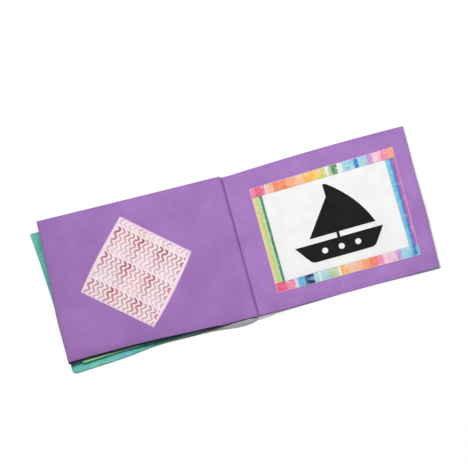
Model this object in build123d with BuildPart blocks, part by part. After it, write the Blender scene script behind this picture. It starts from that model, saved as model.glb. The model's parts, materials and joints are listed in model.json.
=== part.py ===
# Soft cloth book, open at its last spread and lying flat: the front cover and one folded pair of
# padded pages lie to the left of the sewn spine, and the back cover lies to the right.
# X runs across the spread, Y up the spine and Z up from the table. Millimetres.
import os
from math import cos, radians, sin, tan

from build123d import *

# Padded layers
page_width = 200.0  # spine seam to fore edge
page_height = 156.0  # along the seam, where the stitching draws the page in
cover_height = 154.0  # of a cover along the seam
leaf_thickness = 2.6
cover_pad_thickness = 2.6
outer_cloth_thickness = 0.7
leaf_gap = 0.4  # air between neighbouring layers beside the seam
edge_round = 0.7  # rolled edges of the padding
corner_round = 1.5  # turned corners in plan
worn_corner_round = 4.5  # the front cover's lower corner

# Sewn spine
seam_radius = 1.0  # half the thickness of the stitched edge
hinge_clearance = 0.4  # between the stitched edge and a cover's fold
spine_roll = 12.0  # width over which a page rolls down into the seam
page_fold = 1.6  # upper leaf's thickness where it meets the seam
cover_fold_drop = 0.45  # top of the back cover's fold, under its hinge line
cover_fold_pad = 1.1  # padding left in that fold
cover_fold_cloth = 0.6  # outer cloth in that fold

# Rise of the two loose leaves towards their fore edges, in degrees
lower_leaf_fan = 0.8
upper_leaf_fan = 1.6

# Fore edge of each layer: its reach past the page width, its lean (the top corner's reach over
# the bottom one's), its shift up the spine and its flare (how much taller it is than at the seam)
upper_leaf_reach = 0.9
upper_leaf_lean = -1.0
upper_leaf_shift = 1.8
upper_leaf_flare = 2.9
lower_leaf_reach = -8.0
lower_leaf_lean = 7.5
lower_leaf_shift = -2.5
lower_leaf_flare = 1.0
front_cover_reach = 5.7
front_cover_lean = 8.6
front_cover_shift = -6.1
front_cover_flare = 3.5
back_cover_reach = -2.8
back_cover_lean = 4.0
back_cover_shift = 4.9
back_cover_flare = 4.7

# Free edges that aren't straight, and where along the edge from the seam they swell or sink most
upper_leaf_hollow = 4.7  # lower edge drawn in beside the drooping corner
upper_leaf_hollow_at = 0.73
back_cover_swell = 1.7  # upper edge
back_cover_swell_at = 0.5
lower_leaf_lift = 10.0  # lower edge drawn up beside the seam
outer_rim = 1.4  # outer cloth past the back cover's lining, at the fore and lower edges
front_puff = 5.0  # outer cloth puffed out past the front cover's lower edge beside the spine
front_puff_width = 36.0

# Patch, sewn on its corner to the open page
patch_width = 85.6
patch_length = 90.4
patch_turn = -40.8
patch_off_middle = 11.4  # centre, from the middle of the page towards its fore edge
patch_y = 1.2
patch_thickness = 0.5

# Picture: a white panel in a frame of four strips, sewn to the back cover's lining
frame_spine_margin = 24.5
frame_fore_margin = 18.5
frame_height = 119.0
frame_y = 3.1  # centre
frame_turn = 1.2
strip_width = 10.0
strip_thickness = 0.7
panel_thickness = 0.5

# Sailing boat, cut in one piece from black cloth
boat_thickness = 0.3
deck_y = -19.0  # deck line, from the picture's centre
hull_length = 96.0
hull_depth = 20.0
hull_rake = 14.0
hull_round = 8.0
mast_width = 3.0
mast_height = 60.0
sail_foot = 6.0  # sails' lower edge over the deck
main_sail_width = 40.0
main_sail_belly = 5.0
fore_sail_width = 29.0
fore_sail_height = 46.0
porthole_radius = 3.2
porthole_pitch = 18.0
porthole_count = 3

# Heights of the layers beside the seam, and the hinge lines that follow from them
cover_top = outer_cloth_thickness + cover_pad_thickness
lower_leaf_base = cover_top + leaf_gap
lower_leaf_top = lower_leaf_base + leaf_thickness
upper_leaf_base = lower_leaf_top + leaf_gap
upper_leaf_top = upper_leaf_base + leaf_thickness
front_hinge_z = cover_top / 2
back_hinge_z = (upper_leaf_top + leaf_gap + cover_top) / 2
fold_start = seam_radius + hinge_clearance

# The spread is centred on the origin, so the seam stands half the covers' difference in reach beside it
front_reach = page_width + front_cover_reach + front_cover_lean / 2
back_reach = page_width + back_cover_reach + back_cover_lean / 2 + outer_rim
seam_x = (front_reach - back_reach) / 2
profile_length = 1.2 * front_reach  # side profiles run past the longest layer
stack_height = upper_leaf_top + profile_length * tan(radians(upper_leaf_fan))
LEFT = -1
RIGHT = 1

table = Plane(origin=(seam_x, 0, 0), x_dir=(1, 0, 0), z_dir=(0, 0, 1))
side_view = Plane(origin=(seam_x, 0, 0), x_dir=(1, 0, 0), z_dir=(0, -1, 0))


def fore_corners(side, reach, lean, shift, height, rim=0.0):
    """Upper and lower fore corner of a layer, from the seam."""
    upper = (side * (page_width + reach + lean / 2 + rim), shift + height / 2)
    lower = (side * (page_width + reach - lean / 2 + rim), shift - height / 2 - rim)
    return upper, lower


def free_edge(fold, fore, swell, swell_at):
    """One free edge of a layer in plan: straight, or two arcs that meet where it swells most."""
    chord = Line(fold, fore, mode=Mode.PRIVATE)
    if swell:
        crest = chord @ swell_at + Vector(0, swell)
        TangentArc(crest, fold, tangent=-(chord % 0))
        TangentArc(crest, fore, tangent=chord % 0)
    else:
        Line(fold, fore)


def layer_plan(
    plane, corners, fold_top, fold_bottom, top_swell=0.0, bottom_swell=0.0, swell_at=0.5, low_round=corner_round
):
    """Plan of a layer, from its fold beside the seam to its turned fore corners. Swells go up the spine."""
    fore_top, fore_bottom = corners
    with BuildSketch(plane) as plan:
        with BuildLine():
            free_edge(fold_top, fore_top, top_swell, swell_at)
            Line(fore_top, fore_bottom)
            free_edge(fold_bottom, fore_bottom, bottom_swell, swell_at)
            Line(fold_bottom, fold_top)
        make_face()
        for corner, radius in ((fore_top, corner_round), (fore_bottom, low_round)):
            fillet(plan.vertices().sort_by_distance(corner)[0], radius)
    return plan.sketch


def layer(side_profile, plan):
    """Solid that has a layer's side profile and its plan."""
    with BuildPart() as block:
        extrude(side_profile, amount=page_height, both=True)
        extrude(plan, amount=stack_height, both=True, mode=Mode.INTERSECT)
    return block.part


def free_rims(part):
    """Upper and lower edges of a layer's free sides, without the ones at its fold."""
    sides = part.faces().filter_by(lambda face: abs(face.normal_at().Z) < 0.01)
    free_sides = sides.filter_by(lambda face: abs(face.center().X - seam_x) > spine_roll)
    return free_sides.edges().filter_by(Axis.Z, reverse=True)


def lining_rims(cover):
    """The free rims of a cover on the side of its lining."""
    return free_rims(cover).filter_by_position(Axis.Z, cover_top - edge_round, back_hinge_z)


def fanned(height, fan, distance):
    """Height of a leaf's face at a distance from the seam."""
    return height + (distance - spine_roll) * tan(radians(fan))


# Front cover: flat on the table, its fold along the foot of the seam
front_corners = fore_corners(
    LEFT, front_cover_reach, front_cover_lean, front_cover_shift, cover_height + front_cover_flare
)
front_fold_top = (-fold_start, cover_height / 2)
front_fold_bottom = (-fold_start, -cover_height / 2)
front_outline = (front_corners, front_fold_top, front_fold_bottom)

with BuildPart() as front_cover:
    padding_base = table.offset(outer_cloth_thickness)
    extrude(layer_plan(padding_base, *front_outline, low_round=worn_corner_round), amount=cover_pad_thickness)
    fillet(lining_rims(front_cover.part), edge_round)

# Its outer cloth, which puffs out past the padding beside the spine
with BuildPart() as front_cover_outer:
    extrude(layer_plan(table, *front_outline, low_round=worn_corner_round), amount=outer_cloth_thickness)
    with BuildSketch(table):
        with BuildLine():
            lower_edge = Line(front_fold_bottom, front_corners[1], mode=Mode.PRIVATE)
            puff_end = lower_edge @ (front_puff_width / lower_edge.length)
            Line(front_fold_bottom, puff_end)
            SagittaArc(puff_end, front_fold_bottom, -front_puff)
        make_face()
    extrude(amount=outer_cloth_thickness)

# Pages: one padded sheet, folded into two leaves and stitched through at the fold
upper_leaf_plan = layer_plan(
    table,
    fore_corners(LEFT, upper_leaf_reach, upper_leaf_lean, upper_leaf_shift, page_height + upper_leaf_flare),
    (0, page_height / 2),
    (0, -page_height / 2),
    bottom_swell=upper_leaf_hollow,
    swell_at=upper_leaf_hollow_at,
)
lower_leaf_plan = layer_plan(
    table,
    fore_corners(LEFT, lower_leaf_reach, lower_leaf_lean, lower_leaf_shift, page_height + lower_leaf_flare),
    (0, cover_height / 2),
    (0, lower_leaf_lift - cover_height / 2),
)
fold_top_z = back_hinge_z + cover_fold_drop - leaf_gap  # just under the back cover's fold when it is closed
fan_run = cos(radians(upper_leaf_fan))
fan_rise = sin(radians(upper_leaf_fan))

with BuildSketch(side_view) as upper_leaf_side:
    with BuildLine():
        roll = TangentArc((-spine_roll, upper_leaf_top), (-fold_start, fold_top_z), tangent=(fan_run, -fan_rise))
        roll_end = roll % 1
        seam_top = (0, fold_top_z + fold_start * roll_end.Y / roll_end.X)
        Polyline(
            roll @ 1,
            seam_top,
            (0, seam_top[1] - page_fold),
            (-spine_roll, upper_leaf_base),
            (-profile_length, fanned(upper_leaf_base, upper_leaf_fan, profile_length)),
            (-profile_length, fanned(upper_leaf_top, upper_leaf_fan, profile_length)),
            roll @ 0,
        )
    make_face()

lower_leaf_rise = profile_length * tan(radians(lower_leaf_fan))

with BuildSketch(side_view) as lower_leaf_side:
    with BuildLine():
        Polyline(
            (0, lower_leaf_base),
            (0, lower_leaf_top),
            (-profile_length, lower_leaf_top + lower_leaf_rise),
            (-profile_length, lower_leaf_base + lower_leaf_rise),
            close=True,
        )
    make_face()

with BuildPart() as upper_leaf:
    add(layer(upper_leaf_side.sketch, upper_leaf_plan))
    fillet(free_rims(upper_leaf.part), edge_round)

with BuildPart() as lower_leaf:
    add(layer(lower_leaf_side.sketch, lower_leaf_plan))
    fillet(free_rims(lower_leaf.part), edge_round)

with BuildPart() as pages:
    add(upper_leaf.part)
    add(lower_leaf.part)
    with BuildSketch(side_view):
        with Locations((0, (front_hinge_z + back_hinge_z) / 2)):
            SlotCenterToCenter(back_hinge_z - front_hinge_z, 2 * seam_radius, rotation=90)
    extrude(amount=cover_height / 2, both=True)

# Back cover: its lining and padding rise from the table to the fold along the top of the seam
back_fore = (RIGHT, back_cover_reach, back_cover_lean, back_cover_shift, cover_height + back_cover_flare)
fold_lining = (fold_start, back_hinge_z - cover_fold_drop)
fold_padding = (fold_start, fold_lining[1] - cover_fold_pad)
fold_cloth = (fold_start, fold_padding[1] - cover_fold_cloth)
flat_start = fold_start + spine_roll
back_plan = layer_plan(
    table,
    fore_corners(*back_fore),
    (0, cover_height / 2),
    (0, -cover_height / 2),
    top_swell=back_cover_swell,
    swell_at=back_cover_swell_at,
)

with BuildSketch(side_view) as back_cover_side:
    with BuildLine():
        TangentArc((spine_roll, cover_top), fold_lining, tangent=(-1, 0))
        Line(fold_lining, fold_padding)
        TangentArc((flat_start, outer_cloth_thickness), fold_padding, tangent=(-1, 0))
        Polyline(
            (flat_start, outer_cloth_thickness),
            (profile_length, outer_cloth_thickness),
            (profile_length, cover_top),
            (spine_roll, cover_top),
        )
    make_face()

with BuildPart() as back_cover:
    add(layer(back_cover_side.sketch, back_plan))
    fillet(lining_rims(back_cover.part), edge_round)

# Its outer cloth, a rim of which shows past the lining
back_outer_plan = layer_plan(
    table,
    fore_corners(*back_fore, rim=outer_rim),
    (0, cover_height / 2),
    (0, -cover_height / 2 - outer_rim),
    top_swell=back_cover_swell,
    swell_at=back_cover_swell_at,
)

with BuildSketch(side_view) as back_outer_side:
    with BuildLine():
        TangentArc((flat_start, outer_cloth_thickness), fold_padding, tangent=(-1, 0))
        Line(fold_padding, fold_cloth)
        TangentArc((flat_start, 0), fold_cloth, tangent=(-1, 0))
        Polyline(
            (flat_start, 0),
            (profile_length, 0),
            (profile_length, outer_cloth_thickness),
            (flat_start, outer_cloth_thickness),
        )
    make_face()

with BuildPart() as back_cover_outer:
    add(layer(back_outer_side.sketch, back_outer_plan))

# Patch: lies on the upper leaf's slope
patch_from_seam = page_width / 2 + patch_off_middle
page_slope = Plane(
    origin=(seam_x + LEFT * patch_from_seam, patch_y, fanned(upper_leaf_top, upper_leaf_fan, patch_from_seam)),
    x_dir=(fan_run, 0, -fan_rise),
    z_dir=(fan_rise, 0, fan_run),
)

with BuildPart() as wave_patch:
    with BuildSketch(page_slope):
        Rectangle(patch_width, patch_length, rotation=patch_turn)
    extrude(amount=patch_thickness)

# Picture: panel and strips lie on the back cover's lining
frame_width = page_width - frame_spine_margin - frame_fore_margin
picture_plane = Plane(
    origin=(seam_x + frame_spine_margin + frame_width / 2, frame_y, cover_top),
    x_dir=(cos(radians(frame_turn)), sin(radians(frame_turn)), 0),
    z_dir=(0, 0, 1),
)
panel_height = frame_height - 2 * strip_width
cross_strip_y = (frame_height - strip_width) / 2
side_strip_x = (frame_width - strip_width) / 2

with BuildPart() as picture_panel:
    with BuildSketch(picture_plane):
        Rectangle(frame_width - 2 * strip_width, panel_height)
    extrude(amount=panel_thickness)


def frame_strip(x, y, width, height):
    """One strip of the frame, centred at x, y in the picture."""
    with BuildPart() as strip:
        with BuildSketch(picture_plane):
            with Locations((x, y)):
                Rectangle(width, height)
        extrude(amount=strip_thickness)
    return strip


frame_strip_top = frame_strip(0, cross_strip_y, frame_width, strip_width)
frame_strip_bottom = frame_strip(0, -cross_strip_y, frame_width, strip_width)
frame_strip_left = frame_strip(-side_strip_x, 0, strip_width, panel_height)
frame_strip_right = frame_strip(side_strip_x, 0, strip_width, panel_height)

# Sailing boat: hull, mast and two sails in one cut, with portholes through the hull
deck_plane = Plane(
    origin=picture_plane.from_local_coords((0, deck_y, panel_thickness)),
    x_dir=picture_plane.x_dir,
    z_dir=picture_plane.z_dir,
)
bow = (-hull_length / 2, 0)
stern = (hull_length / 2, 0)
keel_fore = (-hull_length / 2 + hull_rake, -hull_depth)
keel_aft = (hull_length / 2 - hull_rake, -hull_depth)
main_head = (mast_width / 2, mast_height)
main_clew = (mast_width / 2 + main_sail_width, sail_foot)
fore_head = (-mast_width / 2, fore_sail_height)
fore_tack = (-mast_width / 2 - fore_sail_width, sail_foot)

with BuildPart() as boat_applique:
    with BuildSketch(deck_plane):
        with BuildLine():
            FilletPolyline(bow, keel_fore, keel_aft, stern, radius=hull_round)
            Line(stern, bow)
        make_face()
        with BuildLine():
            Polyline(main_clew, (mast_width / 2, sail_foot), main_head)
            SagittaArc(main_head, main_clew, main_sail_belly)
        make_face()
        with BuildLine():
            Polyline(fore_tack, (-mast_width / 2, sail_foot), fore_head, close=True)
        make_face()
        Rectangle(mast_width, mast_height, align=(Align.CENTER, Align.MIN))
        with Locations((0, -hull_depth / 2)):
            with GridLocations(porthole_pitch, 0, porthole_count, 1):
                Circle(porthole_radius, mode=Mode.SUBTRACT)
    extrude(amount=boat_thickness)

os.makedirs("parts", exist_ok=True)

front_cover.part.label = "front_cover"
export_step(front_cover.part, "parts/front_cover.step")
front_cover_outer.part.label = "front_cover_outer"
export_step(front_cover_outer.part, "parts/front_cover_outer.step")
pages.part.label = "pages"
export_step(pages.part, "parts/pages.step")
back_cover.part.label = "back_cover"
export_step(back_cover.part, "parts/back_cover.step")
back_cover_outer.part.label = "back_cover_outer"
export_step(back_cover_outer.part, "parts/back_cover_outer.step")
wave_patch.part.label = "wave_patch"
export_step(wave_patch.part, "parts/wave_patch.step")
picture_panel.part.label = "picture_panel"
export_step(picture_panel.part, "parts/picture_panel.step")
frame_strip_top.part.label = "frame_strip_top"
export_step(frame_strip_top.part, "parts/frame_strip_top.step")
frame_strip_bottom.part.label = "frame_strip_bottom"
export_step(frame_strip_bottom.part, "parts/frame_strip_bottom.step")
frame_strip_left.part.label = "frame_strip_left"
export_step(frame_strip_left.part, "parts/frame_strip_left.step")
frame_strip_right.part.label = "frame_strip_right"
export_step(frame_strip_right.part, "parts/frame_strip_right.step")
boat_applique.part.label = "boat_applique"
export_step(boat_applique.part, "parts/boat_applique.step")
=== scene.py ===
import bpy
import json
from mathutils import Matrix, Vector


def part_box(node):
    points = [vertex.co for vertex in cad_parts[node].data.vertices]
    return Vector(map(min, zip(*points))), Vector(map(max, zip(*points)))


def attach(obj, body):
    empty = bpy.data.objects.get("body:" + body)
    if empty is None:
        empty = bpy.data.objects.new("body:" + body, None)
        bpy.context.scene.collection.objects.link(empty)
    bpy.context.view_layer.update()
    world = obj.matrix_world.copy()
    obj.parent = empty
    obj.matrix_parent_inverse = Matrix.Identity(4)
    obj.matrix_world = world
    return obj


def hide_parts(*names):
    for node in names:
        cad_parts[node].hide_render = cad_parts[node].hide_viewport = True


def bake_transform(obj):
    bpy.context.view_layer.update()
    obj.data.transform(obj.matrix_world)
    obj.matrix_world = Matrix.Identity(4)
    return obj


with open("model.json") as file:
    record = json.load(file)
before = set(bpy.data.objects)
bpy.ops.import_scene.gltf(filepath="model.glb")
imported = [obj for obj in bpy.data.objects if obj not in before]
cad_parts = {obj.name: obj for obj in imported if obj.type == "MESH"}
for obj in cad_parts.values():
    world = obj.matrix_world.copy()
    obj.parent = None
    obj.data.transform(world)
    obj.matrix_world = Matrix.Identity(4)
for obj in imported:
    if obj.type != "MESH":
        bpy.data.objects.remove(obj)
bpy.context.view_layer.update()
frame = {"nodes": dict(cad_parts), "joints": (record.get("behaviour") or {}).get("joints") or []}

import json
import math

import bmesh
import bpy
import numpy as np
from mathutils import Matrix, Vector
from mathutils.bvhtree import BVHTree

# Front cover's outer cloth: grey cotton that lies on the table under the cover's padding. It is
# caught in the spine seam with the pages, and puffs out past the padding beside the spine.
MM = 0.001
LEFT, RIGHT = -1, 1
seam_x = frame["joints"][0]["pos_m"][0] / MM
cloth_thickness = 0.7
seam_lean = 0.012  # the soft seam drifts sideways by this share of its length
lean_reach = 20.0
# A layer's mesh is cut at these distances from its edges, and evenly further in.
hem_cuts = np.array([0.0, 0.18, 0.45, 0.8, 1.3, 1.9, 2.6, 3.2, 3.8, 4.6, *np.arange(5.6, 15.0, 1.1)])
slub = (0.9, 14.0, 5.0)  # width, length and depth of the thick stretches in a thread
fuzz_size = 0.6


class Strand:
    """A value in a cloth's shader: sums of strands add Math nodes, and node() adds any other node."""

    def __init__(self, tree, socket=None):
        self.tree = tree
        self.socket = socket

    def node(self, kind, inputs, output=0, stops=(), fade="LINEAR", **settings):
        made = self.tree.nodes.new(kind)
        for setting, value in settings.items():
            setattr(made, setting, value)
        if stops:
            made.color_ramp.interpolation = fade
            ramp = made.color_ramp.elements
            while len(ramp) < len(stops):
                ramp.new(1.0)
            for stop, (position, colour) in zip(ramp, stops):
                stop.position = position
                stop.color = colour
        for socket, value in inputs.items():
            if isinstance(value, Strand):
                self.tree.links.new(value.socket, made.inputs[socket])
            else:
                made.inputs[socket].default_value = value
        return Strand(self.tree, made.outputs[output])

    def beside(self, output):
        """Another output of this strand's node."""
        return Strand(self.tree, self.socket.node.outputs[output])

    def maths(self, operation, first, second=0.0):
        return self.node("ShaderNodeMath", {0: first, 1: second}, operation=operation)

    def __add__(self, other):
        return self.maths("ADD", self, other)

    def __sub__(self, other):
        return self.maths("SUBTRACT", self, other)

    def __rsub__(self, other):
        return self.maths("SUBTRACT", other, self)

    def __mul__(self, other):
        return self.maths("MULTIPLY", self, other)

    def __truediv__(self, other):
        return self.maths("DIVIDE", self, other)

    def __rtruediv__(self, other):
        return self.maths("DIVIDE", other, self)

    __radd__ = __add__
    __rmul__ = __mul__

    def mixed(self, first, second):
        """The first colour where this strand is 0, and the second where it is 1."""
        return self.node("ShaderNodeMix", {0: self, 6: first, 7: second}, 2, data_type="RGBA")

    def scaled(self, x, y, z=1.0):
        return self.node("ShaderNodeVectorMath", {0: self, 1: (x, y, z)}, operation="MULTIPLY")

    def mottle(self, size, detail=2.0):
        """Cloudy value from 0 to 1 at this place, in clouds about this many millimetres across."""
        return self.node("ShaderNodeTexNoise", {"Vector": self, "Scale": 1 / size, "Detail": detail})

    def between(self, low, high):
        """This value as a share of the way from low to high, from 0 to 1."""
        spread = {"Value": self, "From Min": low, "From Max": high}
        return self.node("ShaderNodeMapRange", spread, interpolation_type="SMOOTHSTEP")

    def clouds(self, size, deep, pale):
        """Two tones of a dye in soft clouds."""
        return self.mottle(size).between(0.3, 0.7).mixed(deep, pale)

    def parts(self):
        return [self.node("ShaderNodeSeparateXYZ", {0: self}, axis) for axis in range(3)]


def dyed(red, green, blue):
    """A dye written as 8-bit screen colour, made linear for the shaders."""
    shares = [part / 255 for part in (red, green, blue)]
    return tuple(s / 12.92 if s < 0.04045 else ((s + 0.055) / 1.055) ** 2.4 for s in shares) + (1.0,)


def cotton(name, dye, cut_map=None, thread=0.75, depth=0.09, slub_tint=0.10, sheen=0.12):
    """Plain-weave cotton. dye(place) gives its colour at a place in mm, on the book or on the cut."""
    material = bpy.data.materials.new(name)
    material.use_nodes = True
    tree = material.node_tree
    shader = tree.nodes["Principled BSDF"]
    bare = Strand(tree)
    if cut_map:
        spot = bare.node("ShaderNodeUVMap", {}, uv_map=cut_map)
    else:
        spot = bare.node("ShaderNodeTexCoord", {}, "Object")
    place = spot.scaled(1 / MM, 1 / MM, 1 / MM)
    x, y, _ = place.parts()
    turn = 2 * math.pi / thread
    weave = bare.maths("SINE", x * turn) * bare.maths("SINE", y * turn)
    slub_wide, slub_long, slub_deep = slub
    warp = place.scaled(1 / slub_wide, 1 / slub_long, 1 / slub_deep).mottle(1.0)
    weft = place.scaled(1 / slub_long, 1 / slub_wide, 1 / slub_deep).mottle(1.0)
    thick = warp + weft - 0.5
    fuzz = place.mottle(fuzz_size, 1.0)
    colour = dye(place)
    worn = (thick * 1.2 + fuzz * 0.4 - 0.3).between(0.2, 0.8)
    paler = bare.node(
        "ShaderNodeHueSaturation", {"Saturation": 1 - slub_tint, "Value": 1 + slub_tint, "Color": colour}
    )
    deeper = bare.node("ShaderNodeHueSaturation", {"Value": 1 - slub_tint, "Color": colour})
    relief = weave * 0.5 + thick * 0.9 + fuzz * 0.35
    normal = bare.node("ShaderNodeBump", {"Strength": 0.55, "Distance": depth * MM, "Height": relief})
    tree.links.new(worn.mixed(deeper, paler).socket, shader.inputs["Base Color"])
    tree.links.new((0.84 + thick * 0.12).socket, shader.inputs["Roughness"])
    tree.links.new(normal.socket, shader.inputs["Normal"])
    shader.inputs["Specular IOR Level"].default_value = 0.2
    shader.inputs["Sheen Weight"].default_value = sheen
    shader.inputs["Sheen Roughness"].default_value = 0.6
    return material


def straight(share):
    return 0 * share


def bowed(depth):
    """An edge that bows outwards, by depth at its middle."""
    return lambda share: depth * 4 * share * (1 - share)


def eased(value, start, end):
    """0 before start and 1 after end, with no corner at either."""
    share = np.clip((value - start) / (end - start), 0, 1)
    return share * share * (3 - 2 * share)


def layer_plan(corners, rounds, low=straight, high=straight, fore=straight):
    """Plan of a layer: its width, its height, and a function from shares of them to places, each given
    as distance from the seam, height up the spine and distance from the nearest free edge. corners are
    seam low, seam high, fore low and fore high; rounds are the fore corners' radii; low, high and fore
    are how far those edges swell out along their length."""
    seam_low, seam_high, fore_low, fore_high = (np.array(corner, float)[:, None, None] for corner in corners)
    width = float(np.linalg.norm(fore_low - seam_low))
    height = float(np.linalg.norm(fore_high - fore_low))
    upwards = np.array([0.0, 1.0])[:, None, None]

    def place(across, up):
        to_fore, to_low, to_high = (1 - across) * width, up * height, (1 - up) * height
        to_edge = np.minimum(to_fore, np.minimum(to_low, to_high))
        for to_side, radius, is_low in ((to_low, rounds[0], True), (to_high, rounds[1], False)):
            p, q = radius - to_fore, radius - to_side
            inside = (p > 0) & (q > 0)
            shrink = np.maximum(p, q) / np.maximum(np.hypot(p, q), 1e-9)
            rounded = (radius - q * shrink) / height
            across = np.where(inside, 1 - (radius - p * shrink) / width, across)
            up = np.where(inside, rounded if is_low else 1 - rounded, up)
        low_edge = seam_low + across * (fore_low - seam_low) - low(across) * upwards
        high_edge = seam_high + across * (fore_high - seam_high) + high(across) * upwards
        out, y = (1 - up) * low_edge + up * high_edge
        return out + across * fore(up), y, to_edge

    return width, height, place


def cut_shares(length, cell):
    """Where a layer's mesh is cut along a side: close at the ends, where the cloth rolls over."""
    inner = length - 2 * hem_cuts[-1]
    even = np.linspace(hem_cuts[-1], length - hem_cuts[-1], round(inner / cell) + 1)
    return np.concatenate([hem_cuts[:-1], even, (length - hem_cuts[:-1])[::-1]]) / length


def closed_mesh(name, tops, feet, meeting, materials=()):
    """Two cloths as one closed mesh: grids of points in mm that are one where meeting is true, and that
    a wall joins along their first row. The lower cloth has the last material, the rest the first."""
    over = np.arange(meeting.size).reshape(meeting.shape)
    under = over.copy()
    under[~meeting] = meeting.size + np.arange(np.count_nonzero(~meeting))
    rings = [(sheet[:-1, :-1], sheet[1:, :-1], sheet[1:, 1:], sheet[:-1, 1:]) for sheet in (over, under)]
    rings.append((over[0, :-1], over[0, 1:], under[0, 1:], under[0, :-1]))
    loops, slots = [], []
    for ring, last in zip(rings, (False, True, False)):
        quads = np.stack([corner.ravel() for corner in ring], -1).tolist()
        loops += [list(dict.fromkeys(quad)) for quad in quads]
        slots.append(np.broadcast_to(last, ring[0].shape).ravel() * (len(materials) - 1))
    mesh = bpy.data.meshes.new(name)
    mesh.from_pydata(np.concatenate([tops.reshape(-1, 3), feet[~meeting]]) * MM, [], loops)
    for material in materials:
        mesh.materials.append(material)
    mesh.polygons.foreach_set("material_index", np.concatenate(slots).astype(np.int32))
    mesh.polygons.foreach_set("use_smooth", [True] * len(loops))
    shaped = bmesh.new()
    shaped.from_mesh(mesh)
    bmesh.ops.recalc_face_normals(shaped, faces=shaped.faces)
    shaped.to_mesh(mesh)
    shaped.free()
    return mesh


def put_down(mesh):
    piece = bpy.data.objects.new(mesh.name, mesh)
    bpy.context.collection.objects.link(piece)
    return piece


def sewn_layer(name, side, plan, faces, roll, materials, cell=4.0, billow=None, turned=None):
    """One layer of the book: an upper and a lower cloth that meet along the free edges and both end at
    the seam. faces(out, y, to_edge) gives the two cloths' heights, and billow the upper one's rise.
    turned(out) is how far the lower cloth is turned up at the low edge, or less than 0 where the upper
    cloth is turned under: the attribute "turned" is then how far a point lies within the lower cloth."""
    width, height, place = plan
    across, up = np.meshgrid(cut_shares(width, cell), cut_shares(height, cell), indexing="ij")
    out, y, to_edge = place(across, up)
    upper, lower = faces(out, y, to_edge)
    if billow:
        upper = upper + billow(across, up)
    plump = np.sqrt(1 - (1 - np.clip(to_edge / roll, 0, 1)) ** 2)
    middle, half = (upper + lower) / 2, (upper - lower) / 2 * plump
    x = seam_x + side * out - seam_lean * y * (1 - eased(out, 0, lean_reach))
    tops, feet = (np.stack([x, y, middle + way * half], -1) for way in (1, -1))
    meeting = to_edge <= 0
    mesh = closed_mesh(name, tops, feet, meeting, materials)
    if turned:
        within = [turned(out) + way * up * height for way in (-1, 1)]
        marks = np.concatenate([within[0].ravel(), within[1][~meeting]])
        mesh.attributes.new("turned", "FLOAT", "POINT").data.foreach_set("value", marks)
    return put_down(mesh)


def grey_dye(place):
    return place.clouds(22, dyed(188, 186, 193), dyed(204, 202, 208))


grey_cotton = cotton("outer_cotton", grey_dye)
front_corners = ((0, -76.5), (0, 77.0), (201.4, -86.3), (212.2, 72.6))
front_fore = bowed(-1.8)
front_rounds = (4.5, 1.5)
front_outer_seam = (1.0, 1.4)  # heights of its lower and upper face where it goes into the seam
front_rise = 5.0
front_hollow = 2.7  # how far the lower edge is drawn in, and where
hollow_at = 105.0
hollow_width = 32.0
outer_roll = 1.0  # how far in from its free edges the cloth rolls over
puff_at = 15.0
puff_start = 8.0
puff_width = 26.0
puff_reach = 5.2
reach_at_seam = 0.8  # shares of the puff's reach and height that are left at the seam
height_at_seam = 0.5
puff_tuck = 5.0  # how far the padding's edge is drawn in beside the puff, over a longer run
tuck_width = 50.0
puff_height = 7.4
puff_fall = 0.75  # share of its height that the puff loses on its way out
puff_lip = 1.0
puff_edge = -76.6  # the puff rises past this height, just under the page's edge


def puff(out, at_seam, width):
    """How much of the puff there is at a distance from the seam."""
    return np.exp(-(((out - puff_at) / width) ** 2)) * (at_seam + (1 - at_seam) * eased(out, 0, puff_start))


def front_hem(share):
    """The padding's lower edge, drawn in a little in its middle and beside the puff."""
    out = share * front_corners[2][0]
    hollow = front_hollow * np.exp(-(((out - hollow_at) / hollow_width) ** 2))
    return -hollow - puff_tuck * puff(out, 0.0, tuck_width)


def past_padding(out, y):
    """How far a place lies past the padding's lower edge."""
    share = out / front_corners[2][0]
    low_edge = front_corners[0][1] + share * (front_corners[2][1] - front_corners[0][1]) - front_hem(share)
    return low_edge - y


def front_outer_faces(out, y, to_edge):
    pinch = 1 - eased(out, 0, front_rise)
    flat = cloth_thickness + (front_outer_seam[1] - cloth_thickness) * pinch
    past = np.minimum(past_padding(out, y), puff_edge - y)
    fall = 1 - puff_fall * np.clip(past / (puff_reach * puff(out, reach_at_seam, tuck_width)), 0, 1)
    rise = puff_height * puff(out, height_at_seam, tuck_width) * eased(past, 0, puff_lip) * fall
    return flat + rise, front_outer_seam[0] * pinch


def front_outer_hem(share):
    """The outer cloth's lower edge: the padding's, let out again by the tuck and by the puff."""
    out = share * front_corners[2][0]
    let_back = front_hem(share) + puff_tuck * puff(out, 0.0, tuck_width)
    return let_back + puff_reach * puff(out, reach_at_seam, puff_width)


front_outer = sewn_layer(
    "front_cover_outer_cloth", LEFT,
    layer_plan(front_corners, front_rounds, low=front_outer_hem, fore=front_fore),
    front_outer_faces, outer_roll, [grey_cotton],
)
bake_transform(front_outer)
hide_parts("front_cover_outer")

# Front cover's lining and padding: thin wadding under a teal cotton with a blue watercolour print,
# sewn to the outer cloth around its three free edges and caught in the spine seam.
cover_top = 3.3
front_pad_seam = (1.4, 1.8)
front_roll = 1.3
rehearsal_cell = 5.0
rehearsal_scale = 10.0  # the cloth is simulated at ten times its size, which suits the solver
rehearsal_frames = 16
cloth_slack = 0.005  # how much larger the cloth is cut than the wadding that it covers
cloth_mass = 0.3
cloth_stiffness = 0.5
wadding_press = 0.2
billow_most = 0.9
billow_hem = 12.0  # it fades out over this distance from a hem, and between these from the seam
billow_seam = (4.0, 16.0)


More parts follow.
